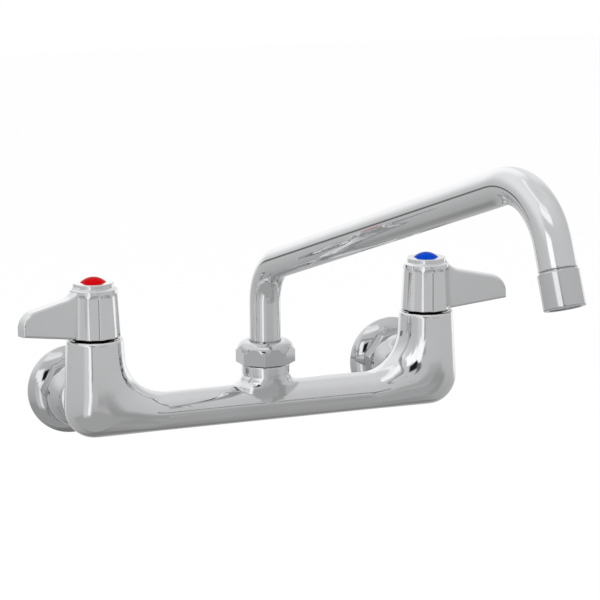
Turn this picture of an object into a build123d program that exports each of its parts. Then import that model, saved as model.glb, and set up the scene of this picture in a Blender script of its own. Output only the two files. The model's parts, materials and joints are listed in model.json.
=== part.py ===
from build123d import *
import math
import os

# Commercial wall faucet: a cast crossbar body with a lever valve at each end and a swing
# spout in the middle. The origin is on the wall plane, midway between the two inlets, at
# the height of their axes. +X is to the user's right, +Y goes into the wall, +Z is up.
# Millimetres. Heights named below are above the crossbar's axis unless said otherwise.

os.makedirs("parts", exist_ok=True)

SIDES = {"hot": -1, "cold": 1}

# Clearances
thread_gap = 0.1            # radial, between a screwed piece and its hole
slip_gap = 0.1              # radial, between pieces that slide together
turn_gap = 0.08             # radial, round a piece that turns
seat_gap = 0.2              # axial, under a part that is pulled down elsewhere
seal_gap = 0.02             # radial, between a seal and the wall that it touches

# Body casting
inlet_centres = 203.2
wall_to_posts = 55.1
bar_radius = 11.33
inlet_height = 4.72         # of the inlets' axes above the crossbar's
post_radius = 16.05         # at the rim
post_height = 45.5
post_draft = 3.0            # outward slope of the post's side, downward
rim_round = 1.2
elbow_inner_radius = 23.0
elbow_outer_radius = 17.0
elbow_hold_angle = 20.0     # below the horizontal through the inner fillet's centre: as deep as the post
elbow_sections = 19
inlet_boss_radius = 15.2
inlet_boss_end = 28.4       # from the wall plane
inlet_boss_shoulder = 9.0   # length of the tapered start of the boss, inside the post
inlet_boss_start_radius = 9.1
spout_boss_radius = 13.9
spout_boss_height = 22.5
spout_boss_sink = 1.5       # start of the boss's foot below the crossbar's axis
spout_boss_inset = 0.1      # of the boss's front behind the crossbar's, at its axis
spout_boss_sections = 12
saddle_fillet = 6.0
neck_radius = 13.0
neck_length = 5.0

# Waterways in the body
water_radius = 6.5
riser_radius = 5.5
passage_radius = 5.0
passage_foot = 25.6         # inward from the post's axis, where the crossbar's waterway ends
passage_overlap = 3.0       # start of the slanted passage inside the crossbar's waterway
passage_head = 8.6          # inward from the post's axis, in the valve chamber
passage_lift = 9.0          # of that end above the valve's seat
cartridge_depth = 30.5      # from the post's rim down to the valve's seat
chamber_radius = 12.2
bonnet_bore_radius = 13.2
bonnet_bore_depth = 12.0
spout_bore_radius = 11.1
spout_bore_floor = 6.0

# Inlet unions, distances from the wall plane
flange_radius = 26.2
flange_thickness = 5.0
flange_round = 2.4
flange_hub_radius = 17.4
flange_hub_length = 2.8
pipe_thread_radius = 9.2
pipe_thread_depth = 15.0
nipple_radius = 14.5
nipple_end = 18.5
union_washer_thickness = 2.0
union_washer_bore = 7.6
tail_radius = 10.5
tail_shoulder_radius = 14.1
tail_shoulder_length = 2.7
tail_thread_length = 9.6
nut_flats = 38.1
nut_band = 8.5
nut_dome_foot_radius = 18.9
nut_nose_radius = 14.9
nut_nose_gap = 0.8          # between the nut's nose and the body
hot_nut_turn = 38.0         # of the octagon's corners, as the nuts stopped when tightened
cold_nut_turn = 30.0
nut_dome_bow = 0.1          # rise of the dome above its chord, as a share of the chord

# Cartridges
seat_seal_bore = 6.2
seat_seal_radius = 9.2
seat_seal_thickness = 2.0
housing_floor = 1.4
housing_wall = 1.7
housing_flange = 2.5
housing_window = 9.0
disc_thickness = 3.0
port_radius = 2.8
port_offset = 5.4           # of each port from the stem's axis
tang_width = 4.0
tang_length = 15.0
tang_depth = 1.4
drive_plate = 3.5
stem_radius = 5.0
broach_radius = 4.6
broach_points = 12
broach_length = 14.0
broach_gap = 2.0            # between the bonnet nut and the handle's web
oring_section = 1.8
stem_oring_section = 1.4
stem_oring_depth = 5.5      # below the post's rim
bonnet_hex_radius = 11.2
bonnet_hex_length = 4.5

# Handles
handle_lift = 1.5           # gap between the post's rim and the handle
hub_foot_radius = 14.9
hub_shoulder_radius = 13.4
hub_shoulder_height = 26.8  # above the handle's foot
collar_radius = 11.6
collar_height = 2.7
collar_bevel = 0.4
shoulder_slope = 1.0
skirt_wall = 2.4
flute_count = 12
flute_radius = 14.0
flute_depth = 0.65
flute_end = 3.2             # flutes are at full depth up to this far under the shoulder
flute_end_round = 4.0       # of the curve in which a flute runs out, upward
flute_run_out = 5.0         # the flutes' start, below the handle's foot
lever_reach = 47.5
lever_thickness = 7.6
lever_turn = 17.0           # forward of the crossbar's line, as it is left when shut
lever_slope = 10.2          # fall of the top edge, outward
lever_foot_rise = 5.6       # above the handle's foot, at the tip
lever_top_height = 17.7     # above the handle's foot, at the tip before it is rounded
lever_tip_round = 10.0
lever_root_length = 8.0     # of the curve between the lever's top edge and the collar
lever_root_lift = 1.0       # of that curve's start above the hub's shoulder
lever_edge = 1.3
screw_radius = 2.0
screw_length = 10.0
screw_head_radius = 4.2
screw_head_height = 2.6
screw_head_bevel = 0.8
screw_socket_radius = 1.7
screw_socket_depth = 1.6
screw_web = 2.5
button_radius = 7.1
button_depth = 3.7
button_dome = 2.9
button_skirt_wall = 0.8
button_skirt_length = 2.0
button_hollow = 1.0

# Spout
tube_radius = 9.03
tube_wall = 1.6
tube_foot = 22.0
spout_turn = 82.9           # from +X towards the user
spout_corner_height = 78.8
spout_run = 287.0
spout_rise = 17.3
riser_bend_radius = 27.0
outlet_bend_radius = 34.5
outlet_lean = 19.9          # of the outlet from the vertical, away from the riser
outlet_length = 62.3        # from the second corner to the tip
bearing_thickness = 1.0
hub_flange_radius = 12.7
hub_flange_thickness = 2.5
hub_foot = 8.0
spout_nut_flats = 31.75
spout_nut_lift = 0.9        # above the boss
spout_nut_band = 7.3
spout_nut_dome_foot_radius = 16.3
spout_nut_nose_radius = 11.6
spout_nut_dome = 5.3
spout_nut_dome_bow = 0.2
spout_nut_turn = -21.0      # of the octagon's corners from -Y
nose_bore_gap = 0.25
ring_groove_heights = (12.0, 18.0)

# Outlet
outlet_collar_radius = 9.8
outlet_collar_length = 17.0
outlet_collar_round = 0.6
outlet_lip_bore = 7.55
outlet_groove = 0.8
outlet_neck_radius = 8.45
outlet_neck_length = 9.0
outlet_gasket_thickness = 1.4
outlet_gasket_bore = 6.8
aerator_flange = 2.0
aerator_skirt_radius = 7.3
aerator_wall = 1.0
aerator_floor = 2.0
aerator_recess = 0.6        # behind the collar's end
aerator_hole_radius = 0.55
aerator_ring_radii = (1.8, 3.6, 5.3)
aerator_ring_counts = (6, 12, 18)
screen_thickness = 0.4
screen_hole_radius = 0.7
screen_ring_radii = (2.4, 4.4)
screen_ring_counts = (6, 12)

edge_match = 0.01           # how near an edge has to be to the one that is looked for

# Worked out
post_x = inlet_centres / 2
post_y = -wall_to_posts
draft = math.tan(math.radians(post_draft))
elbow_top = bar_radius + elbow_inner_radius
post_foot_radius = post_radius + draft * (post_height - elbow_top)
elbow_x = post_foot_radius + elbow_inner_radius
bar_z = -inlet_height
seat_height = post_height - cartridge_depth
bonnet_seat = post_height - bonnet_bore_depth
stem_oring_height = post_height - stem_oring_depth
passage_head_height = seat_height + passage_lift
neck_top = spout_boss_height + neck_length


def upright(x):
    """Plane on a vertical axis: local x is the radius, local y the height."""
    return Plane(origin=(x, post_y, bar_z), x_dir=(0, -1, 0), z_dir=(-1, 0, 0))


def level(x, height, turn=0.0):
    """Horizontal plane at a height, its local x turned about the vertical axis."""
    direction = (math.cos(math.radians(turn)), math.sin(math.radians(turn)), 0)
    return Plane(origin=(x, post_y, bar_z + height), x_dir=direction, z_dir=(0, 0, 1))


def from_wall(x):
    """Plane on an inlet's axis: local x is the radius, local y the distance from the wall."""
    return Plane(origin=(x, 0, 0), x_dir=(1, 0, 0), z_dir=(0, 0, -1))


def outline(plane, *points):
    """Closed outline through (radius, distance) points, to be revolved about the plane's y."""
    with BuildSketch(plane) as face:
        with BuildLine():
            Polyline(*points, close=True)
        make_face()
    return face.sketch


def spin(plane):
    """The axis along the plane's local y."""
    return Axis(plane.origin, plane.y_dir)


def turned(plane, *points):
    """Solid of revolution of an outline."""
    with BuildPart() as piece:
        revolve(outline(plane, *points), axis=spin(plane))
    return piece.part


def ring(plane, inner, outer, start, end):
    """Plain ring with square edges."""
    return turned(plane, (inner, start), (outer, start), (outer, end), (inner, end))


def torus_ring(plane, centre_radius, section, distance):
    """Round rubber ring whose section is a circle."""
    with BuildPart() as piece:
        with BuildSketch(plane):
            with Locations((centre_radius, distance)):
                Circle(section / 2)
        revolve(axis=spin(plane))
    return piece.part


def domed_nut(plane, flats, start, band, dome, dome_foot_radius, nose_radius, bow, turn):
    """Octagonal nut blank: a band with eight flats and a domed nose, along the plane's y."""
    corner = flats / 2 / math.cos(math.pi / 8)
    nose = start + band + dome
    rise = bow * math.hypot(dome, dome_foot_radius - nose_radius)
    with BuildPart() as blank:
        with BuildSketch(plane):
            with BuildLine():
                Polyline((0, nose), (0, start), (corner, start), (corner, start + band),
                         (dome_foot_radius, start + band))
                SagittaArc((dome_foot_radius, start + band), (nose_radius, nose), -rise)
                Line((nose_radius, nose), (0, nose))
            make_face()
        revolve(axis=spin(plane))
        base = Plane(origin=plane.from_local_coords((0, start, 0)), x_dir=plane.x_dir, z_dir=plane.y_dir)
        with BuildSketch(base):
            RegularPolygon(corner, 8, rotation=turn)
        extrude(amount=band + dome, mode=Mode.INTERSECT)
    return blank.part


def save(part, name):
    """Name a finished piece and write it."""
    part.label = name
    export_step(part, f"parts/{name}.step")


# Valve body

def elbow_reach(dx, dz):
    """Distance from the inner fillet's centre to the elbow's outside, along a direction."""
    floor = elbow_top + bar_radius
    corner_z = floor - elbow_outer_radius
    corner_x = elbow_x + post_foot_radius + draft * corner_z - elbow_outer_radius
    if floor * dx < corner_x * -dz:
        return floor / -dz
    wall = (elbow_x + post_foot_radius) / (dx + draft * dz)
    if wall * -dz < corner_z:
        return wall
    along = corner_x * dx - corner_z * dz
    across = corner_x * dz + corner_z * dx
    return along + math.sqrt(elbow_outer_radius**2 - across**2)


def make_elbow(side):
    """Casting between the post and the crossbar: oval sections that fan round the inner fillet."""
    with BuildPart() as elbow:
        for step in range(elbow_sections):
            angle = step / (elbow_sections - 1) * math.pi / 2
            dx = math.cos(angle)
            dz = -math.sin(angle)
            near = elbow_inner_radius * (1 + draft * dz * dx**2)
            reach = elbow_reach(dx, dz)
            middle = (near + reach) / 2
            x = side * (post_x - elbow_x + middle * dx)
            section = Plane(
                origin=(x, post_y, bar_z + elbow_top + middle * dz),
                x_dir=(side * dx, 0, dz),
                z_dir=(side * dz, 0, -dx),
            )
            turn = max(0, (math.degrees(angle) - elbow_hold_angle) / (90 - elbow_hold_angle))
            share = turn**2 * (3 - 2 * turn)
            depth = (post_foot_radius - draft * middle * dz) * (1 - share) + bar_radius * share
            with BuildSketch(section):
                if 0 < step < elbow_sections - 1:
                    Ellipse((reach - near) / 2, depth)
                else:
                    Circle((reach - near) / 2)
        loft()
    return elbow.part


def make_spout_boss():
    """Casting under the spout: round above, flared along the crossbar and flush with its front below."""
    top = bar_radius + saddle_fillet
    with BuildPart() as boss:
        for step in range(spout_boss_sections):
            height = -spout_boss_sink + (top + spout_boss_sink) * step / (spout_boss_sections - 1)
            drop = min(top - height, saddle_fillet)
            flare = saddle_fillet - math.sqrt(saddle_fillet**2 - drop**2)
            rise = max(0, height / top)
            share = rise**2 * (3 - 2 * rise)
            depth = (bar_radius - spout_boss_inset) * (1 - share) + spout_boss_radius * share
            with BuildSketch(level(0, height)):
                Ellipse(spout_boss_radius + flare, depth)
        loft()
        with BuildSketch(level(0, top)):
            Circle(spout_boss_radius)
        extrude(amount=spout_boss_height - top)
    return boss.part


def make_valve_body():
    """Cast body with its waterways and threaded holes."""
    bar_end = post_x - elbow_x
    boss = upright(0)
    with BuildPart() as body:
        with BuildSketch(Plane(origin=(-bar_end, post_y, bar_z), x_dir=(0, 1, 0), z_dir=(1, 0, 0))):
            Circle(bar_radius)
        extrude(amount=2 * bar_end)
        add(make_spout_boss())
        with BuildSketch(level(0, spout_boss_height)):
            Circle(neck_radius)
        extrude(amount=neck_length)

        for side in SIDES.values():
            x = side * post_x
            add(make_elbow(side))
            post = upright(x)
            revolve(
                outline(post, (0, elbow_top), (post_foot_radius, elbow_top), (post_radius, post_height),
                        (0, post_height)),
                axis=spin(post),
            )
            inlet = from_wall(x)
            start = wall_to_posts - inlet_boss_shoulder / 2
            revolve(
                outline(inlet, (0, start), (inlet_boss_start_radius, start),
                        (inlet_boss_radius, start - inlet_boss_shoulder),
                        (inlet_boss_radius, inlet_boss_end), (0, inlet_boss_end)),
                axis=spin(inlet),
            )
        rims = body.faces().filter_by(Axis.Z).group_by(Axis.Z)[-1]
        fillet(rims.edges(), rim_round)

        # Spout bore and the waterway along the crossbar
        revolve(
            outline(boss, (0, 0), (water_radius, 0), (water_radius, spout_bore_floor),
                    (spout_bore_radius, spout_bore_floor), (spout_bore_radius, neck_top), (0, neck_top)),
            axis=spin(boss),
            mode=Mode.SUBTRACT,
        )
        water_end = post_x - passage_foot
        with BuildSketch(Plane(origin=(-water_end, post_y, bar_z), x_dir=(0, 1, 0), z_dir=(1, 0, 0))):
            Circle(water_radius)
        extrude(amount=2 * water_end, mode=Mode.SUBTRACT)

        for side in SIDES.values():
            x = side * post_x
            post = upright(x)
            revolve(
                outline(post, (0, inlet_height), (riser_radius, inlet_height), (riser_radius, seat_height),
                        (chamber_radius, seat_height), (chamber_radius, bonnet_seat),
                        (bonnet_bore_radius, bonnet_seat), (bonnet_bore_radius, post_height),
                        (0, post_height)),
                axis=spin(post),
                mode=Mode.SUBTRACT,
            )
            inlet = from_wall(x)
            tail_end = inlet_boss_end + tail_thread_length
            revolve(
                outline(inlet, (0, inlet_boss_end), (tail_radius + thread_gap, inlet_boss_end),
                        (tail_radius + thread_gap, tail_end), (water_radius, tail_end),
                        (water_radius, wall_to_posts), (0, wall_to_posts)),
                axis=spin(inlet),
                mode=Mode.SUBTRACT,
            )
            foot = post_x - passage_foot - passage_overlap
            run = post_x - passage_head - foot
            rise = passage_head_height + passage_overlap
            with BuildSketch(Plane(origin=(side * foot, post_y, bar_z - passage_overlap),
                                   z_dir=(side * run, 0, rise))):
                Circle(passage_radius)
            extrude(amount=math.hypot(run, rise), mode=Mode.SUBTRACT)
    return body.part


# Inlet unions

def make_inlet_flange(side):
    """Wall flange with a female pipe thread at the back and a threaded nipple in front."""
    inlet = from_wall(side * post_x)
    hub_end = flange_thickness + flange_hub_length
    with BuildPart() as flange:
        revolve(
            outline(inlet, (pipe_thread_radius, 0), (flange_radius, 0), (flange_radius, flange_thickness),
                    (flange_hub_radius, flange_thickness), (flange_hub_radius, hub_end),
                    (nipple_radius, hub_end), (nipple_radius, nipple_end), (water_radius, nipple_end),
                    (water_radius, pipe_thread_depth), (pipe_thread_radius, pipe_thread_depth)),
            axis=spin(inlet),
        )
        rim = flange.edges().filter_by(GeomType.CIRCLE).filter_by(
            lambda edge: abs(edge.radius - flange_radius) < edge_match).sort_by(Axis.Y)[0]
        fillet(rim, flange_round)
    return flange.part


def make_coupling_nut(side):
    """Octagonal union nut: threaded on the nipple, its lip pulls on the tailpiece."""
    inlet = from_wall(side * post_x)
    start = flange_thickness + flange_hub_length + seat_gap
    nose = inlet_boss_end - nut_nose_gap
    lip = nipple_end + union_washer_thickness + tail_shoulder_length
    turn = hot_nut_turn if side < 0 else cold_nut_turn
    with BuildPart() as nut:
        add(domed_nut(inlet, nut_flats, start, nut_band, nose - start - nut_band,
                      nut_dome_foot_radius, nut_nose_radius, nut_dome_bow, turn))
        revolve(
            outline(inlet, (0, start), (nipple_radius + thread_gap, start),
                    (nipple_radius + thread_gap, lip), (tail_radius + slip_gap, lip),
                    (tail_radius + slip_gap, nose), (0, nose)),
            axis=spin(inlet),
            mode=Mode.SUBTRACT,
        )
    return nut.part


def make_union_washer(side):
    """Flat seal between the nipple and the tailpiece."""
    inlet = from_wall(side * post_x)
    return ring(inlet, union_washer_bore, tail_shoulder_radius - slip_gap, nipple_end,
                nipple_end + union_washer_thickness)


def make_tailpiece(side):
    """Shouldered tube that is screwed into the body's inlet boss."""
    inlet = from_wall(side * post_x)
    start = nipple_end + union_washer_thickness
    shoulder = start + tail_shoulder_length
    end = inlet_boss_end + tail_thread_length
    return turned(inlet, (water_radius, start), (tail_shoulder_radius, start),
                  (tail_shoulder_radius, shoulder), (tail_radius, shoulder), (tail_radius, end),
                  (water_radius, end))


# Cartridges

seal_top = seat_height + seat_seal_thickness
disc_floor = seal_top + housing_floor
disc_joint = disc_floor + disc_thickness
disc_top = disc_joint + disc_thickness
plate_top = disc_top + drive_plate
housing_radius = chamber_radius - slip_gap
disc_radius = housing_radius - housing_wall - slip_gap
bonnet_foot = bonnet_seat + housing_flange
bonnet_top = post_height + bonnet_hex_length
handle_foot = post_height + handle_lift
broach_foot = bonnet_top + broach_gap
stem_top = broach_foot + broach_length


def make_seat_seal(side):
    """Rubber ring that the cartridge is pressed down on."""
    return ring(upright(side * post_x), seat_seal_bore, seat_seal_radius, seat_height, seal_top)


def make_housing(side):
    """Cartridge shell: open floor, two windows, a guide for the stem and a clamping flange."""
    post = upright(side * post_x)
    guide = stem_radius + turn_gap
    ring_groove = housing_radius + slip_gap - oring_section
    groove_middle = (plate_top + bonnet_seat) / 2
    with BuildPart() as housing:
        revolve(
            outline(post, (seat_seal_bore, seal_top), (housing_radius, seal_top),
                    (housing_radius, groove_middle - oring_section / 2),
                    (ring_groove, groove_middle - oring_section / 2),
                    (ring_groove, groove_middle + oring_section / 2),
                    (housing_radius, groove_middle + oring_section / 2),
                    (housing_radius, bonnet_seat), (bonnet_bore_radius - slip_gap, bonnet_seat),
                    (bonnet_bore_radius - slip_gap, bonnet_foot), (guide, bonnet_foot),
                    (guide, plate_top + turn_gap), (housing_radius - housing_wall, plate_top + turn_gap),
                    (housing_radius - housing_wall, disc_floor), (seat_seal_bore, disc_floor)),
            axis=spin(post),
        )
        with BuildSketch(Plane(origin=(side * post_x, post_y, bar_z + disc_joint + disc_thickness / 2),
                               x_dir=(0, 1, 0), z_dir=(1, 0, 0))):
            Rectangle(housing_window, disc_thickness)
        extrude(amount=bonnet_bore_radius, both=True, mode=Mode.SUBTRACT)
    return housing.part


def make_disc(side, height, turn):
    """Ceramic disc with two round ports."""
    base = level(side * post_x, height, turn)
    with BuildPart() as disc:
        with BuildSketch(base):
            Circle(disc_radius)
            with PolarLocations(port_offset, 2):
                Circle(port_radius, mode=Mode.SUBTRACT)
        extrude(amount=disc_thickness)
    return disc.part


def make_moving_disc(side):
    """Upper disc: ports opened to its rim, and a slot on top for the stem's tang."""
    base = level(side * post_x, disc_joint, 90)
    with BuildPart() as disc:
        with BuildSketch(base):
            Circle(disc_radius)
            with PolarLocations(port_offset, 2):
                Circle(port_radius, mode=Mode.SUBTRACT)
            with PolarLocations(port_offset + disc_radius / 2, 2):
                Rectangle(disc_radius, 2 * port_radius, mode=Mode.SUBTRACT)
        extrude(amount=disc_thickness)
        with BuildSketch(level(side * post_x, disc_top, 0)):
            Rectangle(tang_length + 2 * slip_gap, tang_width + 2 * slip_gap)
        extrude(amount=-tang_depth - slip_gap, mode=Mode.SUBTRACT)
    return disc.part


def make_stem(side):
    """Stem: tang and drive plate below, O-ring groove, and a twelve-point broach on top."""
    x = side * post_x
    post = upright(x)
    groove = stem_radius + turn_gap - stem_oring_section
    half = stem_oring_section / 2
    with BuildPart() as stem:
        revolve(
            outline(post, (0, disc_top), (disc_radius - slip_gap, disc_top),
                    (disc_radius - slip_gap, plate_top), (stem_radius, plate_top),
                    (stem_radius, stem_oring_height - half), (groove, stem_oring_height - half),
                    (groove, stem_oring_height + half), (stem_radius, stem_oring_height + half),
                    (stem_radius, broach_foot), (0, broach_foot)),
            axis=spin(post),
        )
        with BuildSketch(level(x, disc_top)):
            Rectangle(tang_length, tang_width)
        extrude(amount=-tang_depth)
        with BuildSketch(level(x, broach_foot, -side * lever_turn)):
            RegularPolygon(broach_radius, broach_points)
        extrude(amount=broach_length)
        with BuildSketch(level(x, stem_top)):
            Circle(screw_radius + thread_gap)
        extrude(amount=-screw_length, mode=Mode.SUBTRACT)
    return stem.part


def make_housing_oring(side):
    """O-ring round the cartridge shell."""
    centre = chamber_radius - seal_gap - oring_section / 2 + seal_gap / 2
    return torus_ring(upright(side * post_x), centre, oring_section - 2 * seal_gap,
                      (plate_top + bonnet_seat) / 2)


def make_stem_oring(side):
    """O-ring in the stem's groove."""
    centre = stem_radius + turn_gap - stem_oring_section / 2
    return torus_ring(upright(side * post_x), centre, stem_oring_section - 2 * seal_gap, stem_oring_height)


def make_bonnet_nut(side):
    """Nut screwed into the post, with a hexagon hidden under the handle's skirt."""
    x = side * post_x
    with BuildPart() as nut:
        with BuildSketch(level(x, bonnet_foot)):
            Circle(bonnet_bore_radius - thread_gap)
        extrude(amount=post_height - rim_round - bonnet_foot)
        with BuildSketch(level(x, post_height - rim_round)):
            RegularPolygon(bonnet_hex_radius, 6)
        extrude(amount=rim_round + bonnet_hex_length)
        with BuildSketch(level(x, bonnet_foot)):
            Circle(stem_radius + turn_gap)
        extrude(amount=bonnet_top - bonnet_foot, mode=Mode.SUBTRACT)
    return nut.part


# Handles

hub_shoulder = handle_foot + hub_shoulder_height
collar_foot = hub_shoulder + shoulder_slope
handle_top = collar_foot + collar_height
screw_seat = stem_top + seat_gap + screw_web
button_seat = handle_top - button_depth
screw_pocket_radius = screw_head_radius + button_skirt_wall + 2 * slip_gap


def make_lever(side):
    """Blade in the upright plane of the lever: flat sides, rounded tip and softened edges."""
    turn = math.radians(lever_turn)
    blade = Plane(
        origin=(side * post_x, post_y, bar_z + handle_foot),
        x_dir=(side * math.cos(turn), -math.sin(turn), 0),
        z_dir=(-math.sin(turn), -side * math.cos(turn), 0),
    )
    inside = hub_shoulder_radius / 2
    slope = math.radians(lever_slope)
    root_x = collar_radius + lever_root_length
    root_top = lever_top_height + (lever_reach - root_x) * math.tan(slope)
    blend_top = hub_shoulder_height + shoulder_slope + lever_root_lift
    with BuildPart() as lever:
        with BuildSketch(blade) as face:
            with BuildLine():
                Polyline((inside, blend_top), (inside, 0), (hub_foot_radius, 0),
                         (lever_reach, lever_foot_rise), (lever_reach, lever_top_height), (root_x, root_top))
                TangentArc((root_x, root_top), (collar_radius, blend_top),
                           tangent=(-math.cos(slope), math.sin(slope)))
                Line((collar_radius, blend_top), (inside, blend_top))
            make_face()
            fillet(face.vertices().sort_by_distance((lever_reach, lever_top_height))[0], lever_tip_round)
        extrude(amount=lever_thickness / 2, both=True)
        rim = lever.edges().filter_by(
            lambda edge: (blade.to_local_coords(edge.center()).X > collar_radius
                          and abs(blade.to_local_coords(edge.center()).Z) > lever_thickness / 2 - edge_match))
        fillet(rim, lever_edge)
    return lever.part


def make_handle(side):
    """Tapered fluted hub with its lever, hollow below for the bonnet nut."""
    x = side * post_x
    post = upright(x)
    taper = math.atan2(hub_foot_radius - hub_shoulder_radius, hub_shoulder_height)
    with BuildPart() as handle:
        revolve(
            outline(post, (0, handle_foot), (hub_foot_radius, handle_foot),
                    (hub_shoulder_radius, hub_shoulder), (collar_radius, collar_foot),
                    (collar_radius, handle_top - collar_bevel),
                    (collar_radius - collar_bevel, handle_top), (0, handle_top)),
            axis=spin(post),
        )
        flute_top = hub_shoulder_height - flute_end
        for step in range(1, flute_count):
            angle = math.radians(-side * lever_turn + (0 if side > 0 else 180) + step * 360 / flute_count)
            ray = Vector(math.cos(angle), math.sin(angle), 0)
            lean = Vector(0, 0, math.cos(taper)) - ray * math.sin(taper)
            out = Vector(0, 0, math.sin(taper)) + ray * math.cos(taper)
            foot = Vector(x, post_y, bar_z + handle_foot) + ray * (
                hub_foot_radius + (flute_radius - flute_depth) / math.cos(taper))
            flute = Plane(origin=foot, x_dir=out, z_dir=out.cross(lean))
            with BuildSketch(flute):
                with BuildLine():
                    Polyline((flute_radius - flute_end_round, flute_top + flute_end_round),
                             (0, flute_top + flute_end_round), (0, -flute_run_out),
                             (flute_radius, -flute_run_out), (flute_radius, flute_top))
                    TangentArc((flute_radius, flute_top),
                               (flute_radius - flute_end_round, flute_top + flute_end_round),
                               tangent=(0, 1))
                make_face()
            revolve(axis=spin(flute), mode=Mode.SUBTRACT)
        add(make_lever(side))
        # Skirt room, broach socket, screw hole and the button's pocket
        revolve(
            outline(post, (0, handle_foot), (hub_foot_radius - skirt_wall, handle_foot),
                    (hub_foot_radius - skirt_wall, broach_foot), (0, broach_foot)),
            axis=spin(post),
            mode=Mode.SUBTRACT,
        )
        with BuildSketch(level(x, broach_foot, -side * lever_turn)):
            RegularPolygon(broach_radius + slip_gap, broach_points)
        extrude(amount=broach_length + seat_gap, mode=Mode.SUBTRACT)
        revolve(
            outline(post, (0, stem_top), (screw_radius + slip_gap, stem_top),
                    (screw_radius + slip_gap, screw_seat), (screw_pocket_radius, screw_seat),
                    (screw_pocket_radius, button_seat), (button_radius + slip_gap, button_seat),
                    (button_radius + slip_gap, handle_top), (0, handle_top)),
            axis=spin(post),
            mode=Mode.SUBTRACT,
        )
    return handle.part


def make_handle_screw(side):
    """Pan-head screw with a hexagon socket."""
    x = side * post_x
    post = upright(x)
    head_top = screw_seat + screw_head_height
    with BuildPart() as screw:
        revolve(
            outline(post, (0, screw_seat - screw_length), (screw_radius, screw_seat - screw_length),
                    (screw_radius, screw_seat), (screw_head_radius, screw_seat),
                    (screw_head_radius, head_top - screw_head_bevel),
                    (screw_head_radius - screw_head_bevel, head_top),
                    (0, head_top)),
            axis=spin(post),
        )
        with BuildSketch(level(x, head_top)):
            RegularPolygon(screw_socket_radius, 6)
        extrude(amount=-screw_socket_depth, mode=Mode.SUBTRACT)
    return screw.part


def make_index_button(side):
    """Domed plastic button with a snap skirt that clears the screw's head."""
    post = upright(side * post_x)
    skirt = screw_head_radius + slip_gap
    foot = button_seat - button_skirt_length
    underside = button_seat + button_hollow
    with BuildPart() as button:
        with BuildSketch(post):
            with BuildLine():
                Polyline((0, handle_top + button_dome), (0, underside), (skirt, underside),
                         (skirt, foot), (skirt + button_skirt_wall, foot),
                         (skirt + button_skirt_wall, button_seat), (button_radius, button_seat),
                         (button_radius, handle_top))
                TangentArc((0, handle_top + button_dome), (button_radius, handle_top), tangent=(1, 0))
            make_face()
        revolve(axis=spin(post))
    return button.part


# Spout

spout_angle = math.radians(spout_turn)
rise_angle = math.radians(spout_rise)
spout_x = Vector(math.cos(spout_angle), -math.sin(spout_angle), 0)
spout_plane = Plane(origin=(0, post_y, bar_z), x_dir=spout_x, z_dir=spout_x.cross(Vector(0, 0, 1)))
second_corner = (spout_run * math.cos(rise_angle), spout_corner_height + spout_run * math.sin(rise_angle))
lean_angle = math.radians(outlet_lean)
outlet_x = spout_x * math.cos(lean_angle) + Vector(0, 0, math.sin(lean_angle))
outlet_y = spout_x * math.sin(lean_angle) - Vector(0, 0, math.cos(lean_angle))
outlet_plane = Plane(origin=spout_plane.from_local_coords((*second_corner, 0)), x_dir=outlet_x,
                     z_dir=outlet_x.cross(outlet_y))
outlet_start = outlet_length - outlet_collar_length
neck_start = outlet_start - outlet_groove
bearing_top = neck_top + bearing_thickness
hub_top = bearing_top + hub_flange_thickness
hub_radius = spout_bore_radius - turn_gap
tube_bore = tube_radius - tube_wall


def make_spout_tube():
    """Bent tube: riser, sloping run and outlet, with a turned-down neck at the end."""
    tip = (second_corner[0] + neck_start * math.sin(lean_angle),
           second_corner[1] - neck_start * math.cos(lean_angle))
    neck_plane = Plane(origin=spout_plane.from_local_coords((*tip, 0)), z_dir=outlet_y)
    with BuildPart() as tube:
        with BuildLine(spout_plane):
            FilletPolyline((0, tube_foot), (0, spout_corner_height), second_corner, tip,
                           radius=(riser_bend_radius, outlet_bend_radius))
        with BuildSketch(level(0, tube_foot)):
            Circle(tube_radius)
            Circle(tube_bore, mode=Mode.SUBTRACT)
        sweep()
        with BuildSketch(neck_plane):
            Circle(outlet_neck_radius)
            Circle(tube_bore, mode=Mode.SUBTRACT)
        extrude(amount=outlet_groove + outlet_neck_length)
    return tube.part


def make_spout_hub():
    """Ferrule brazed on the tube's foot: flange, pocket for the tube and two ring grooves."""
    column = upright(0)
    groove = hub_radius + turn_gap - oring_section
    half = oring_section / 2
    low, high = ring_groove_heights
    return turned(
        column,
        (tube_bore, hub_foot), (hub_radius, hub_foot),
        (hub_radius, low - half), (groove, low - half), (groove, low + half), (hub_radius, low + half),
        (hub_radius, high - half), (groove, high - half), (groove, high + half), (hub_radius, high + half),
        (hub_radius, bearing_top), (hub_flange_radius, bearing_top), (hub_flange_radius, hub_top),
        (tube_radius + seal_gap, hub_top), (tube_radius + seal_gap, tube_foot), (tube_bore, tube_foot),
    )


def make_spout_orings():
    """Two O-rings on the spout hub."""
    centre = spout_bore_radius - oring_section / 2
    with BuildPart() as rings:
        for height in ring_groove_heights:
            add(torus_ring(upright(0), centre, oring_section - 2 * seal_gap, height))
    return rings.part


def make_spout_bearing():
    """Plain washer between the body's neck and the spout hub's flange."""
    return ring(upright(0), hub_radius + slip_gap, neck_radius - slip_gap, neck_top, bearing_top)


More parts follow.
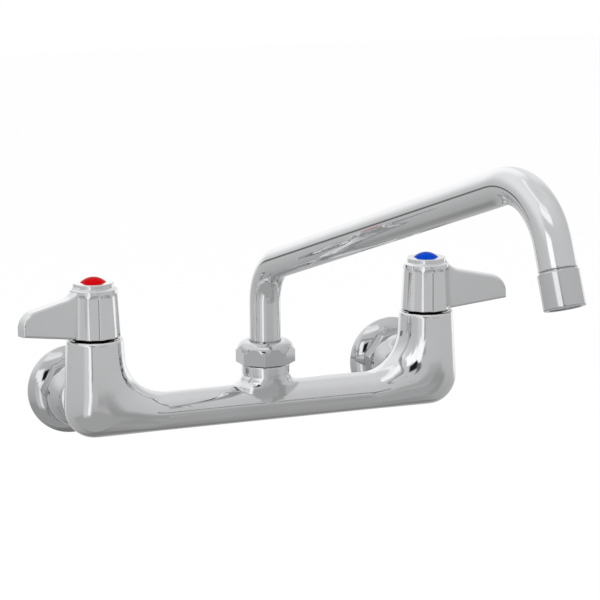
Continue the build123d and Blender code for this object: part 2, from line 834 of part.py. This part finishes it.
def make_spout_nut():
    """Octagonal domed nut that holds the spout hub down and lets it turn."""
    column = upright(0)
    start = spout_boss_height + spout_nut_lift
    nose = start + spout_nut_band + spout_nut_dome
    with BuildPart() as nut:
        add(domed_nut(column, spout_nut_flats, start, spout_nut_band, spout_nut_dome,
                      spout_nut_dome_foot_radius, spout_nut_nose_radius, spout_nut_dome_bow,
                      spout_nut_turn))
        revolve(
            outline(column, (0, start), (neck_radius + thread_gap, start),
                    (neck_radius + thread_gap, hub_top + turn_gap),
                    (tube_radius + nose_bore_gap, hub_top + turn_gap),
                    (tube_radius + nose_bore_gap, nose), (0, nose)),
            axis=spin(column),
            mode=Mode.SUBTRACT,
        )
    return nut.part


# Outlet

neck_end = outlet_start + outlet_neck_length
gasket_end = neck_end + outlet_gasket_thickness
collar_bore = outlet_neck_radius + thread_gap


def make_outlet_collar():
    """Screwed collar with an inner lip that carries the aerator."""
    lip_start = gasket_end + aerator_flange
    with BuildPart() as collar:
        revolve(
            outline(outlet_plane, (collar_bore, outlet_start), (outlet_collar_radius, outlet_start),
                    (outlet_collar_radius, outlet_length), (outlet_lip_bore, outlet_length),
                    (outlet_lip_bore, lip_start), (collar_bore, lip_start)),
            axis=spin(outlet_plane),
        )
        outside = collar.edges().filter_by(GeomType.CIRCLE).filter_by(
            lambda edge: abs(edge.radius - outlet_collar_radius) < edge_match)
        fillet(outside, outlet_collar_round)
    return collar.part


def make_outlet_gasket():
    """Rubber ring between the tube's neck and the aerator."""
    return ring(outlet_plane, outlet_gasket_bore, outlet_neck_radius, neck_end, gasket_end)


def make_aerator_insert():
    """Aerator body: a flange on the collar's lip, a skirt, and a floor of small holes."""
    end = outlet_length - aerator_recess
    floor = end - aerator_floor
    seat = gasket_end + screen_thickness
    flange_end = gasket_end + aerator_flange
    inside = aerator_skirt_radius - aerator_wall
    mouth = Plane(origin=outlet_plane.from_local_coords((0, end, 0)), x_dir=outlet_plane.x_dir,
                  z_dir=outlet_y)
    with BuildPart() as insert:
        revolve(
            outline(outlet_plane, (0, floor), (inside, floor), (inside, seat), (outlet_neck_radius, seat),
                    (outlet_neck_radius, flange_end), (aerator_skirt_radius, flange_end),
                    (aerator_skirt_radius, end), (0, end)),
            axis=spin(outlet_plane),
        )
        with BuildSketch(mouth):
            Circle(aerator_hole_radius)
            for radius, count in zip(aerator_ring_radii, aerator_ring_counts):
                with PolarLocations(radius, count):
                    Circle(aerator_hole_radius)
        extrude(amount=-aerator_floor, mode=Mode.SUBTRACT)
    return insert.part


def make_aerator_screen():
    """Round screen on top of the aerator."""
    base = Plane(origin=outlet_plane.from_local_coords((0, gasket_end, 0)), x_dir=outlet_plane.x_dir,
                 z_dir=outlet_y)
    with BuildPart() as screen:
        with BuildSketch(base):
            Circle(outlet_neck_radius - slip_gap)
            for radius, count in zip(screen_ring_radii, screen_ring_counts):
                with PolarLocations(radius, count):
                    Circle(screen_hole_radius, mode=Mode.SUBTRACT)
        extrude(amount=screen_thickness)
    return screen.part


save(make_valve_body(), "valve_body")
save(make_spout_nut(), "spout_nut")
save(make_spout_tube(), "spout_tube")
save(make_spout_hub(), "spout_hub")
save(make_spout_orings(), "spout_orings")
save(make_spout_bearing(), "spout_bearing")
save(make_outlet_collar(), "outlet_collar")
save(make_outlet_gasket(), "outlet_gasket")
save(make_aerator_insert(), "aerator_insert")
save(make_aerator_screen(), "aerator_screen")
for name, side in SIDES.items():
    save(make_inlet_flange(side), f"{name}_inlet_flange")
    save(make_coupling_nut(side), f"{name}_coupling_nut")
    save(make_union_washer(side), f"{name}_union_washer")
    save(make_tailpiece(side), f"{name}_union_tailpiece")
    save(make_seat_seal(side), f"{name}_seat_seal")
    save(make_housing(side), f"{name}_cartridge_housing")
    save(make_disc(side, disc_floor, 0), f"{name}_fixed_disc")
    save(make_moving_disc(side), f"{name}_moving_disc")
    save(make_stem(side), f"{name}_cartridge_stem")
    save(make_housing_oring(side), f"{name}_housing_oring")
    save(make_stem_oring(side), f"{name}_stem_oring")
    save(make_bonnet_nut(side), f"{name}_bonnet_nut")
    save(make_handle(side), f"{name}_handle")
    save(make_handle_screw(side), f"{name}_handle_screw")
    save(make_index_button(side), f"{name}_index_button")
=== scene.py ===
import bmesh
import bpy
import json
import math
from mathutils import Matrix, Vector


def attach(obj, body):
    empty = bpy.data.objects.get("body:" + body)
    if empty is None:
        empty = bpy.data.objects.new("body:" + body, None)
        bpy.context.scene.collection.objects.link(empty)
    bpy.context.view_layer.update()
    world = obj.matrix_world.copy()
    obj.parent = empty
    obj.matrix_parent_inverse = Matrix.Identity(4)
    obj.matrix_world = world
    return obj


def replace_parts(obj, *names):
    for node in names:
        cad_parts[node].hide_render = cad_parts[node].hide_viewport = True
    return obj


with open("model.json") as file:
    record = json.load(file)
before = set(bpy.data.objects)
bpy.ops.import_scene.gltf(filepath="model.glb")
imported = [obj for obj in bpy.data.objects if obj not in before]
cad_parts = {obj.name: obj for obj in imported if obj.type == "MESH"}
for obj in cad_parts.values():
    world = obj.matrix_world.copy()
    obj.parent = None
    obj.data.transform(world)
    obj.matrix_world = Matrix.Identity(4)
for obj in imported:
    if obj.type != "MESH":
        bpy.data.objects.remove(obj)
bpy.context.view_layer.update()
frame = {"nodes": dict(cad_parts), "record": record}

# Wall faucet. The frame's origin is on the wall plane, midway between the inlets, +X to the
# user's right, +Y into the wall, +Z up. Blender's unit is the metre; the wall flanges'
# sections are written in millimetres.

scene = bpy.context.scene
MM = 0.001
SIDES = {"hot": -1, "cold": 1}


# ---------------------------------------------------------------- materials

NODE_SAMPLES = 8
NOISE_ROUGHNESS = 0.55
NOISE_RANGE = (0.3, 0.7)        # where most of a noise texture's values lie
FULL_RANGE = (0.0, 1.0)
BLACK = (0.0, 0.0, 0.0)
GRAIN_HEIGHT = 0.00002          # of the relief on brass and on the buttons, in metres

# Chrome: noise scales per metre, then shares of the full tone or gloss
CLOUD_SCALE = 38.0
WIPE_SCALE = 900.0
WIPE_STRETCH = (1, 1, 0.06)     # the wipe marks run up and down
PEEL_SCALE = 95.0
# the painted crevice shade reads the openness between these two
CREVICE_RANGE = (0.15, 0.75)    # openness of a crevice and of an open place
CLOUD_TONE = 0.96
CLEAR_WIPE = 0.3
HAZE_RISE = 2.2
BRIGHT = (0.795, 0.80, 0.81)
DEEP_BRIGHT = (0.66, 0.665, 0.675)

# Brass
BRASS = (0.70, 0.51, 0.22)
STAIN_SCALE = 220.0
STAIN_TONE = 0.65
STAIN_ROUGHNESS = (0.22, 0.38)
TURNED_SCALE = 2500.0
# painted shade deep in a gap: its reach, its darkest share and the openness range
GAP_REACH = 0.012
GAP_SHADE_TONE = 0.02
GAP_RANGE = (0.25, 0.75)

# Screws
STEEL_SCALE = 1800.0
STEEL_DARK = (0.42, 0.42, 0.43)
STEEL_LIGHT = (0.60, 0.60, 0.61)
STEEL_ROUGHNESS = (0.25, 0.4)

# Rubber, ceramic and moulded pieces
MOTTLE_SCALE = 400.0
GRIT_SCALE = 8 * MOTTLE_SCALE
GRIT_HEIGHT = 0.00001
MOTTLE_ROUGHNESS = (0.85, 1.2)  # shares of the piece's roughness

# Index buttons
FLOW_SCALE = 260.0
FLOW_TONE = 0.8
FLOW_ROUGHNESS = (0.07, 0.12)
BUTTON_SPECULAR = 0.03
# painted shade towards the rim, where the surface turns away from the view
RIM_BLEND = 0.35
RIM_RANGE = (0.45, 0.95)
RIM_SHADE_TONE = 0.55


class Maker:
    """A new node material with short ways to add and link nodes."""

    def __init__(self, name, **base):
        self.mat = bpy.data.materials.new(name)
        self.mat.use_nodes = True
        self.tree = self.mat.node_tree
        self.bsdf = next(n for n in self.tree.nodes if n.type == "BSDF_PRINCIPLED")
        self.coords = self.add("ShaderNodeTexCoord").outputs["Object"]
        for key, value in base.items():
            self.bsdf.inputs[key.replace("_", " ")].default_value = value

    def add(self, kind, **values):
        """A new node, its properties and unlinked inputs set by name."""
        node = self.tree.nodes.new(kind)
        for key, value in values.items():
            if hasattr(node, key):
                setattr(node, key, value)
            else:
                node.inputs[key].default_value = value
        return node

    def link(self, a, b):
        self.tree.links.new(a, b)

    def noise(self, scale, detail, stretch=(1, 1, 1)):
        mapping = self.add("ShaderNodeMapping", Scale=stretch)
        self.link(self.coords, mapping.inputs["Vector"])
        tex = self.add("ShaderNodeTexNoise", Scale=scale, Detail=detail, Roughness=NOISE_ROUGHNESS)
        self.link(mapping.outputs["Vector"], tex.inputs["Vector"])
        return tex.outputs["Fac"]

    def span(self, value, low, high, source=NOISE_RANGE):
        """The value rescaled from its source range."""
        node = self.add("ShaderNodeMapRange")
        node.inputs["From Min"].default_value, node.inputs["From Max"].default_value = source
        node.inputs["To Min"].default_value = low
        node.inputs["To Max"].default_value = high
        self.link(value, node.inputs["Value"])
        return node.outputs["Result"]

    def product(self, a, b):
        node = self.add("ShaderNodeMath", operation="MULTIPLY")
        self.link(a, node.inputs[0])
        self.link(b, node.inputs[1])
        return node.outputs[0]

    def openness(self, reach):
        """1 in the open, less in crevices that are narrower than the reach in metres."""
        node = self.add("ShaderNodeAmbientOcclusion", samples=NODE_SAMPLES, Distance=reach)
        return node.outputs["AO"]

    def tint(self, value, dark, light):
        """Base colour between dark and light."""
        ramp = self.add("ShaderNodeValToRGB")
        ramp.color_ramp.elements[0].color = (*dark, 1)
        ramp.color_ramp.elements[1].color = (*light, 1)
        self.link(value, ramp.inputs["Fac"])
        self.link(ramp.outputs["Color"], self.bsdf.inputs["Base Color"])

    def bump(self, height, distance, below=None):
        """Normal over a relief of that height in metres."""
        node = self.add("ShaderNodeBump", Distance=distance)
        self.link(height, node.inputs["Height"])
        if below is not None:
            self.link(below, node.inputs["Normal"])
        return node.outputs["Normal"]


def chrome(name, light, rough, soften, dull_and_shade_level, reach, peel=0.0):
    """Polished plate: faint cloudiness in colour and gloss, fine wipe marks, softly rounded
    creases, painted shade with duller plate in the crevices and the unevenness of a buffed casting."""
    m = Maker(name, Metallic=1.0)
    cloud = m.noise(CLOUD_SCALE, 3.0)
    wipe = m.noise(WIPE_SCALE, 2.0, WIPE_STRETCH)
    normal = m.add("ShaderNodeBevel", samples=NODE_SAMPLES, Radius=soften).outputs["Normal"]
    if peel:
        normal = m.bump(m.noise(PEEL_SCALE, 1.0), peel, below=normal)
    m.link(normal, m.bsdf.inputs["Normal"])
    # painted shade: the plate's colour darkens in crevices, where shade falls, and this also stands
    # for duller plate there
    crevice_dull_and_shade = m.span(m.openness(reach), dull_and_shade_level, 1.0, CREVICE_RANGE)
    m.tint(m.product(m.span(cloud, CLOUD_TONE, 1.0), crevice_dull_and_shade), BLACK, light)
    haze = m.product(m.span(cloud, 0.0, 1.0), m.span(wipe, CLEAR_WIPE, 1.0))
    m.link(m.span(haze, rough, rough * HAZE_RISE, FULL_RANGE), m.bsdf.inputs["Roughness"])
    return m.mat


def brass():
    """Turned, uncoated brass, slightly dulled, with painted shade that makes it nearly black deep
    in a gap.
    """
    m = Maker("raw_brass", Metallic=1.0)
    stain = m.noise(STAIN_SCALE, 6.0)
    # painted shade: the colour falls to nearly black deep in a gap, where shade falls
    lit = m.span(m.openness(GAP_REACH), GAP_SHADE_TONE, 1.0, GAP_RANGE)
    m.tint(m.product(m.span(stain, STAIN_TONE, 1.0), lit), BLACK, BRASS)
    m.link(m.span(stain, *STAIN_ROUGHNESS), m.bsdf.inputs["Roughness"])
    m.link(m.bump(m.noise(TURNED_SCALE, 2.0), GRAIN_HEIGHT), m.bsdf.inputs["Normal"])
    return m.mat


def steel():
    """Plain steel with a fine grain."""
    m = Maker("steel_screw", Metallic=1.0)
    grain = m.noise(STEEL_SCALE, 3.0)
    m.tint(m.span(grain, 0.0, 1.0), STEEL_DARK, STEEL_LIGHT)
    m.link(m.span(grain, *STEEL_ROUGHNESS), m.bsdf.inputs["Roughness"])
    return m.mat


def plain(name, dark, light, rough):
    """Rubber, ceramic or moulded plastic with a faint mottle and grain."""
    m = Maker(name)
    mottle = m.noise(MOTTLE_SCALE, 5.0)
    low, high = MOTTLE_ROUGHNESS
    m.tint(m.span(mottle, 0.0, 1.0), dark, light)
    m.link(m.span(mottle, rough * low, rough * high), m.bsdf.inputs["Roughness"])
    m.link(m.bump(m.noise(GRIT_SCALE, 2.0), GRIT_HEIGHT), m.bsdf.inputs["Normal"])
    return m.mat


def button(name, deep, bright):
    """Moulded plastic with faint flow marks; painted shade deepens its colour towards the rim."""
    m = Maker(name, Specular_IOR_Level=BUTTON_SPECULAR)
    flow = m.noise(FLOW_SCALE, 2.0)
    facing = m.add("ShaderNodeLayerWeight", Blend=RIM_BLEND).outputs["Facing"]
    # painted shade: the colour deepens where the surface turns away from the view
    rim = m.span(facing, 1.0, RIM_SHADE_TONE, RIM_RANGE)
    m.tint(m.product(m.span(flow, FLOW_TONE, 1.0), rim), deep, bright)
    m.link(m.span(flow, *FLOW_ROUGHNESS), m.bsdf.inputs["Roughness"])
    m.link(m.bump(flow, GRAIN_HEIGHT), m.bsdf.inputs["Normal"])
    return m.mat


# dull_and_shade_level: share of the plate's colour left deep in a crevice, painted shade with
# duller plate
MATERIALS = {
    "body_chrome": chrome("body_chrome", BRIGHT, rough=0.014, soften=0.0018, dull_and_shade_level=0.30,
                          reach=0.014, peel=0.00004),
    "trim_chrome": chrome("trim_chrome", DEEP_BRIGHT, rough=0.016, soften=0.0005, dull_and_shade_level=0.12,
                          reach=0.012),
    "spout_chrome": chrome("spout_chrome", BRIGHT, rough=0.012, soften=0.0010, dull_and_shade_level=0.35,
                           reach=0.05, peel=0.00002),
    "handle_chrome": chrome("handle_chrome", BRIGHT, rough=0.016, soften=0.0006, dull_and_shade_level=0.35,
                            reach=0.010, peel=0.00002),
    "raw_brass": brass(),
    "ceramic": plain("ceramic", (0.80, 0.78, 0.73), (0.88, 0.87, 0.83), 0.25),
    "seal_rubber": plain("seal_rubber", (0.015, 0.015, 0.016), (0.03, 0.03, 0.032), 0.6),
    "steel_screw": steel(),
    "bearing_plastic": plain("bearing_plastic", (0.70, 0.70, 0.66), (0.78, 0.78, 0.74), 0.4),
    "aerator_plastic": plain("aerator_plastic", (0.42, 0.43, 0.45), (0.52, 0.53, 0.55), 0.4),
    "hot_button": button("hot_button", (0.04, 0.0, 0.0), (0.68, 0.0, 0.004)),
    "cold_button": button("cold_button", (0.0, 0.004, 0.04), (0.0, 0.065, 0.60)),
}

for entry in frame["record"]["subparts"]:
    node = frame["nodes"][entry["node"]]
    node.data.materials.clear()
    node.data.materials.append(MATERIALS[entry["material_slot"]])


# ---------------------------------------------------------------- wall flanges, in millimetres

POST_X = 101.6                 # from the middle to each inlet
TURN_STEPS = 160
SHARP_ANGLE = math.radians(30.0)
FLANGE_RADIUS = 26.2
FLANGE_RIM = 1.9               # from the wall to the dome's edge
FLANGE_HUB_RADIUS = 17.4
FLANGE_HUB_END = 7.8
NIPPLE_RADIUS = 14.5
NIPPLE_END = 18.5
NIPPLE_BEVEL = 0.6
WATER_RADIUS = 6.5
SOCKET_RADIUS = 9.2
SOCKET_DEPTH = 15.0
SOCKET_BEVEL = 0.8
BACK_BEVEL = 0.3
DOME_START = 14.0              # slope of the dome at the hub, in degrees
DOME_END = 54.0                # and at the rim
DOME_STEPS = 24
THREAD_PITCH = 1.814
THREAD_START = 1.3
THREAD_ROOT = SOCKET_RADIUS + 0.05   # a little inside the socket's wall
THREAD_CREST = 8.35
THREAD_FOOT = 0.47 * THREAD_PITCH    # half the ridge's width at its root
THREAD_FLAT = 0.08                   # and at its crest
THREAD_TURNS = 6.5
THREAD_RUN_OUT = 0.5                 # turns over which the ridge rises from nothing
THREAD_STEPS = 72


def new_piece(name, verts, faces, body, slot):
    """A piece from points in millimetres, riding a body of the frame."""
    mesh = bpy.data.meshes.new(name)
    mesh.from_pydata([Vector(v) * MM for v in verts], [], faces)
    mesh.update()
    bm = bmesh.new()
    bm.from_mesh(mesh)
    bmesh.ops.recalc_face_normals(bm, faces=bm.faces)
    bm.to_mesh(mesh)
    bm.free()
    for face in mesh.polygons:
        face.use_smooth = True
    mesh.set_sharp_from_angle(angle=SHARP_ANGLE)
    mesh.materials.append(MATERIALS[slot])
    piece = bpy.data.objects.new(name, mesh)
    scene.collection.objects.link(piece)
    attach(piece, body)
    return piece


def flange_profile():
    """Radius and distance from the wall, round the flange's section."""
    dome = [(0.0, 0.0)]
    for step in range(DOME_STEPS):
        share = (step + 0.5) / DOME_STEPS
        slope = math.radians(DOME_START + (DOME_END - DOME_START) * share)
        r, d = dome[-1]
        dome.append((r + math.cos(slope), d - math.sin(slope)))
    wide, deep = dome[-1]
    across = (FLANGE_RADIUS - FLANGE_HUB_RADIUS) / wide
    down = (FLANGE_RIM - FLANGE_HUB_END) / deep
    points = [(FLANGE_HUB_RADIUS + r * across, FLANGE_HUB_END + d * down) for r, d in dome]
    points += [
        (FLANGE_RADIUS, BACK_BEVEL),
        (FLANGE_RADIUS - BACK_BEVEL, 0.0),
        (SOCKET_RADIUS + SOCKET_BEVEL, 0.0),
        (SOCKET_RADIUS, SOCKET_BEVEL),
        (SOCKET_RADIUS, SOCKET_DEPTH),
        (WATER_RADIUS, SOCKET_DEPTH),
        (WATER_RADIUS, NIPPLE_END),
        (NIPPLE_RADIUS - NIPPLE_BEVEL, NIPPLE_END),
        (NIPPLE_RADIUS, NIPPLE_END - NIPPLE_BEVEL),
        (NIPPLE_RADIUS, FLANGE_HUB_END),
    ]
    return points


def domed_flange(x, name, node):
    """The wall flange turned from its section, with the shallow dome of the photograph."""
    points = flange_profile()
    count = len(points)
    verts = []
    for step in range(TURN_STEPS):
        angle = 2 * math.pi * step / TURN_STEPS
        verts += [(x + r * math.cos(angle), -d, r * math.sin(angle)) for r, d in points]
    faces = []
    for step in range(TURN_STEPS):
        here = step * count
        there = (step + 1) % TURN_STEPS * count
        for i in range(count):
            j = (i + 1) % count
            faces.append((here + i, here + j, there + j, there + i))
    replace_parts(new_piece(name, verts, faces, "base", "trim_chrome"), node)


def pipe_thread(x, name):
    """Helical ridge in the flange's pipe socket."""
    verts = []
    total = int(THREAD_TURNS * THREAD_STEPS)
    for step in range(total + 1):
        turns = step / THREAD_STEPS
        angle = 2 * math.pi * turns
        left = (total - step) / THREAD_STEPS
        grown = min(1.0, turns / THREAD_RUN_OUT, left / THREAD_RUN_OUT)
        crest = THREAD_ROOT + (THREAD_CREST - THREAD_ROOT) * grown
        at = THREAD_START + THREAD_PITCH * turns
        ridge = ((THREAD_ROOT, at - THREAD_FOOT), (crest, at - THREAD_FLAT),
                 (crest, at + THREAD_FLAT), (THREAD_ROOT, at + THREAD_FOOT))
        verts += [(x + r * math.cos(angle), -d, r * math.sin(angle)) for r, d in ridge]
    faces = [(0, 1, 2, 3), tuple(4 * total + i for i in (3, 2, 1, 0))]
    for step in range(total):
        a = 4 * step
        faces += [(a + i, a + (i + 1) % 4, a + 4 + (i + 1) % 4, a + 4 + i) for i in range(4)]
    new_piece(name, verts, faces, "base", "raw_brass")


for word, side in SIDES.items():
    domed_flange(side * POST_X, word + "_domed_flange", word + "_inlet_flange")
    pipe_thread(side * POST_X, word + "_pipe_thread")


# ---------------------------------------------------------------- camera

CAMERA_AT = Vector((-0.4087, -1.1718, 0.2887))
TARGET = Vector((0.021656, -0.0551, 0.05291))
ROLL = math.radians(-0.42)
LENS = 126.45
SENSOR = 36.0

camera_data = bpy.data.cameras.new("camera")
camera_data.lens = LENS
camera_data.sensor_width = SENSOR
camera = bpy.data.objects.new("camera", camera_data)
scene.collection.objects.link(camera)
look = (TARGET - CAMERA_AT).to_track_quat("-Z", "Y").to_matrix() @ Matrix.Rotation(ROLL, 3, "Z")
camera.matrix_world = Matrix.Translation(CAMERA_AT) @ look.to_4x4()
scene.camera = camera
scene.view_settings.view_transform = "Standard"


# ---------------------------------------------------------------- light

# The light tent as the polished plate shows it: levels by height and by bearing in degrees,
# bearings turning to the left of the photographer below zero. A level is what the plate
# shows, so the tent is brighter than that by the plate's own colour.
PLATE = 0.80
TENT_BY_HEIGHT = [
    (-90, 0.20), (-75, 0.25), (-60, 0.34), (-45, 0.36), (-28, 0.41), (-13, 0.45), (-5, 0.485),
    (5, 0.50), (15, 0.51), (30, 0.53), (45, 0.56), (58, 0.60), (68, 0.62), (78, 0.63), (90, 0.58),
]
TENT_BY_BEARING = [(-180, 1.12), (-70, 1.10), (-30, 1.03), (20, 1.0), (120, 1.0), (180, 1.0)]
# each card: its bearings, its heights, the softness of its edge, its level
CARDS = [
    # dim floor in front and behind
    ((12, 66), (-24, -12), 5.0, 0.35),
    ((42, 78), (-60, -18), 6.0, 0.29),
    ((140, 185), (-95, -48), 10.0, 0.20),
    ((-185, -135), (-95, -48), 10.0, 0.20),
    ((-80, 60), (-88, -30), 5.0, 0.33),
    # white backdrop, fuller on the left
    ((-240, -137), (-15, 60), 14.0, 0.90),
    ((148, 240), (-14, 56), 14.0, 0.74),
    # soft boxes above
    ((-150, -45), (20, 62), 16.0, 0.76),
    ((-140, 12), (60, 68), 3.5, 0.86),
    ((-46, 18), (46, 60), 3.5, 0.93),
    # the large soft box left of the camera, with its stand and the strip light under it
    ((-36, -8), (-37, 2), 6.0, 0.58),
    ((-44, -17), (12, 27), 3.0, 1.0),
    ((-34, -14), (4.5, 14), 3.0, 1.0),
    ((-25, -3), (-3, 6), 3.0, 0.97),
    ((-19, -9.5), (-35, -1), 2.5, 0.90),
    # the camera, the photographer and the room's dark line behind them
    ((-13.5, 1), (4, 20.5), 2.0, 0.01),
    ((-4, 9), (-0.5, 6), 2.5, 0.12),
    ((20, 56), (-3.6, -0.8), 1.0, 0.02),
    # white card on the right
    ((130, 160), (-14, 7), 6.0, 0.90),
    # the dark edge beside the strip light, and a narrow dark stand on the left
    ((-8.5, -5), (-9, -2.5), 1.0, 0.24),
    ((-130, -112), (-7.4, -2), 0.8, 0.14),
]
EVEN_LIGHT = 0.8
WHITE = (1, 1, 1, 1)


def mixed(tree, share, below, above):
    """Mix of two shaders: below where the share is 0, above where it is 1."""
    node = tree.nodes.new("ShaderNodeMixShader")
    tree.links.new(share, node.inputs[0])
    tree.links.new(below, node.inputs[1])
    tree.links.new(above, node.inputs[2])
    return node.outputs[0]


def world_nodes():
    """White to the camera, an even pale light on plain surfaces, and to the metal a light tent
    that is dim below, grey at eye level and pale above, with white cards around the object."""
    world = bpy.data.worlds.new("studio")
    scene.world = world
    world.use_nodes = True
    tree = world.node_tree
    tree.nodes.clear()

    def add(kind, **values):
        node = tree.nodes.new(kind)
        for key, value in values.items():
            setattr(node, key, value)
        return node

    def calc(operation, a, b=0.0, c=0.0):
        node = add("ShaderNodeMath", operation=operation)
        for socket, value in zip(node.inputs, (a, b, c)):
            if isinstance(value, (int, float)):
                socket.default_value = value
            else:
                tree.links.new(value, socket)
        return node.outputs[0]

    def step(value, low, high):
        """0 below low, 1 above high, smooth between them."""
        node = add("ShaderNodeMapRange", interpolation_type="SMOOTHSTEP")
        tree.links.new(value, node.inputs["Value"])
        node.inputs["From Min"].default_value = low
        node.inputs["From Max"].default_value = high
        return node.outputs["Result"]

    def band(value, edges, soft):
        """1 between two edges, 0 outside them, with soft edges."""
        low, high = edges
        risen = step(value, low - soft, low + soft)
        return calc("MULTIPLY", risen, calc("SUBTRACT", 1.0, step(value, high - soft, high + soft)))

    def ramp(value, low, high, stops):
        """A level read off a ramp, the stops being given in the value's own unit."""
        place = add("ShaderNodeMapRange")
        tree.links.new(value, place.inputs["Value"])
        place.inputs["From Min"].default_value = low
        place.inputs["From Max"].default_value = high
        node = add("ShaderNodeValToRGB")
        node.color_ramp.interpolation = "B_SPLINE"
        elements = node.color_ramp.elements
        while len(elements) < len(stops):
            elements.new(0.5)
        for element, (at, level) in zip(elements, stops):
            element.position = (at - low) / (high - low)
            element.color = (level, level, level, 1)
        tree.links.new(place.outputs["Result"], node.inputs["Fac"])
        return node.outputs["Color"]

    def background(color=WHITE, strength=1.0):
        """Background shader, of a fixed colour or of one that a node gives."""
        node = add("ShaderNodeBackground")
        if isinstance(color, tuple):
            node.inputs["Color"].default_value = color
        else:
            tree.links.new(color, node.inputs["Color"])
        node.inputs["Strength"].default_value = strength
        return node.outputs[0]

    part = add("ShaderNodeSeparateXYZ")
    tree.links.new(add("ShaderNodeTexCoord").outputs["Generated"], part.inputs[0])
    x, y, z = part.outputs
    toward = (CAMERA_AT - TARGET).to_2d().normalized()
    ahead = calc("ADD", calc("MULTIPLY", x, toward.x), calc("MULTIPLY", y, toward.y))
    aside = calc("ADD", calc("MULTIPLY", x, -toward.y), calc("MULTIPLY", y, toward.x))
    # degrees, from the side where the photographer stands, and above eye level
    bearing = calc("DEGREES", calc("ARCTAN2", aside, ahead))
    height = calc("DEGREES", calc("ARCSINE", z))

    by_height = ramp(height, -90, 90, TENT_BY_HEIGHT)
    by_bearing = ramp(bearing, -180, 180, TENT_BY_BEARING)
    tent = calc("MULTIPLY", by_height, by_bearing)
    for bearings, heights, soft, level in CARDS:
        mask = calc("MULTIPLY", band(bearing, bearings, soft), band(height, heights, soft))
        tent = calc("MULTIPLY_ADD", mask, calc("SUBTRACT", level, tent), tent)
    tent = calc("DIVIDE", tent, PLATE)

    path = add("ShaderNodeLightPath")
    on_object = mixed(tree, path.outputs["Is Glossy Ray"], background(strength=EVEN_LIGHT),
                      background(tent))
    shown = mixed(tree, path.outputs["Is Camera Ray"], on_object, background())
    tree.links.new(shown, add("ShaderNodeOutputWorld").inputs["Surface"])


world_nodes()


# ---------------------------------------------------------------- floor and lamps

FLOOR_HALF = 6.0
FLOOR_HEIGHT = -0.28
FLOOR_GLOW = 0.86              # seen by the camera only, with the paint on top, which shadows dim
FLOOR_PAINT = (0.16, 0.16, 0.16, 1)
FLOOR_BOUNCE = (0.7, 0.7, 0.7, 1)


def floor():
    """Plain white floor well below the wall-hung faucet; it keeps a faint shadow."""
    corners = [(-FLOOR_HALF, -FLOOR_HALF), (FLOOR_HALF, -FLOOR_HALF), (FLOOR_HALF, FLOOR_HALF),
               (-FLOOR_HALF, FLOOR_HALF)]
    mesh = bpy.data.meshes.new("floor")
    mesh.from_pydata([(x, y, FLOOR_HEIGHT) for x, y in corners], [], [(0, 1, 2, 3)])
    obj = bpy.data.objects.new("floor", mesh)
    scene.collection.objects.link(obj)
    mat = bpy.data.materials.new("floor")
    mat.use_nodes = True
    tree = mat.node_tree
    tree.nodes.clear()
    path = tree.nodes.new("ShaderNodeLightPath")
    glow = tree.nodes.new("ShaderNodeEmission")
    glow.inputs["Color"].default_value = WHITE
    glow.inputs["Strength"].default_value = FLOOR_GLOW
    paint = tree.nodes.new("ShaderNodeBsdfDiffuse")
    paint.inputs["Color"].default_value = FLOOR_PAINT
    seen = tree.nodes.new("ShaderNodeAddShader")
    tree.links.new(glow.outputs[0], seen.inputs[0])
    tree.links.new(paint.outputs[0], seen.inputs[1])
    bounce = tree.nodes.new("ShaderNodeBsdfDiffuse")
    bounce.inputs["Color"].default_value = FLOOR_BOUNCE
    clear = tree.nodes.new("ShaderNodeBsdfTransparent")
    shown = mixed(tree, path.outputs["Is Camera Ray"], bounce.outputs[0], seen.outputs[0])
    surface = mixed(tree, path.outputs["Is Glossy Ray"], shown, clear.outputs[0])
    tree.links.new(surface, tree.nodes.new("ShaderNodeOutputMaterial").inputs["Surface"])
    mesh.materials.append(mat)


floor()

LAMP_AIM = Vector((0, -0.1, 0))
# each lamp: its place, the side of its square, its power
LAMPS = {
    "key": ((-0.9, -1.1, 1.5), 1.2, 9.0),
    "fill": ((1.3, -0.7, 0.9), 1.0, 4.0),
}

for name, (place, size, power) in LAMPS.items():
    data = bpy.data.lights.new(name, "AREA")
    data.shape = "RECTANGLE"
    data.size = size
    data.size_y = size
    data.energy = power
    lamp = bpy.data.objects.new(name, data)
    scene.collection.objects.link(lamp)
    lamp.location = place
    lamp.rotation_mode = "QUATERNION"
    lamp.rotation_quaternion = (LAMP_AIM - Vector(place)).to_track_quat("-Z", "Y")
    lamp.visible_glossy = False
